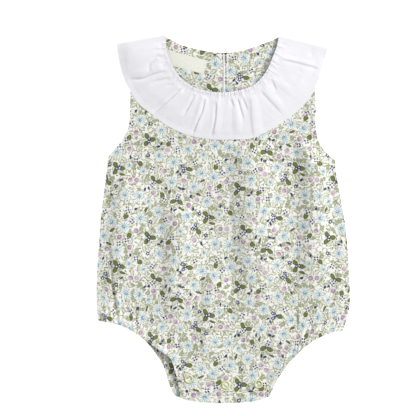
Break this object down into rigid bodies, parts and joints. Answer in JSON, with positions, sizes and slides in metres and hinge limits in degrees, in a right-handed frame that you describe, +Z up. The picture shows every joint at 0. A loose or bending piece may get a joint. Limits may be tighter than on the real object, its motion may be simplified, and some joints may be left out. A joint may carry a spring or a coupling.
{
  "type": "baby romper",
  "caption": "Sleeveless cotton baby romper laid flat, with a gathered round ruffle collar, gathered leg openings and open press-stud rings at the crotch.",
  "frame": {"origin": "middle of the laid-out romper's bounding box, on the surface that it lies on", "axes": "+Z up, away from that surface, the side that the front panel faces; +Y from the crotch to the neck; +X to the right of the laid-out front"},
  "size_m": [0.2792, 0.4066, 0.01],
  "materials": {
    "printed_cotton": "plain-woven cotton with a small scattered floral print",
    "white_cotton": "plain-woven white cotton, unprinted",
    "woven_label": "smooth woven tape, bare",
    "snap_enamel": "pale yellow-green enamel, satin"
  },
  "bodies": {
    "root": {"front_panel": "printed_cotton", "back_panel_left": "printed_cotton", "back_panel_right": "printed_cotton", "collar_ruffle": "white_cotton", "back_seam_edge": "white_cotton", "neck_label": "woven_label", "snap_1": "snap_enamel", "snap_2": "snap_enamel", "snap_3": "snap_enamel"}
  },
  "joints": []
}
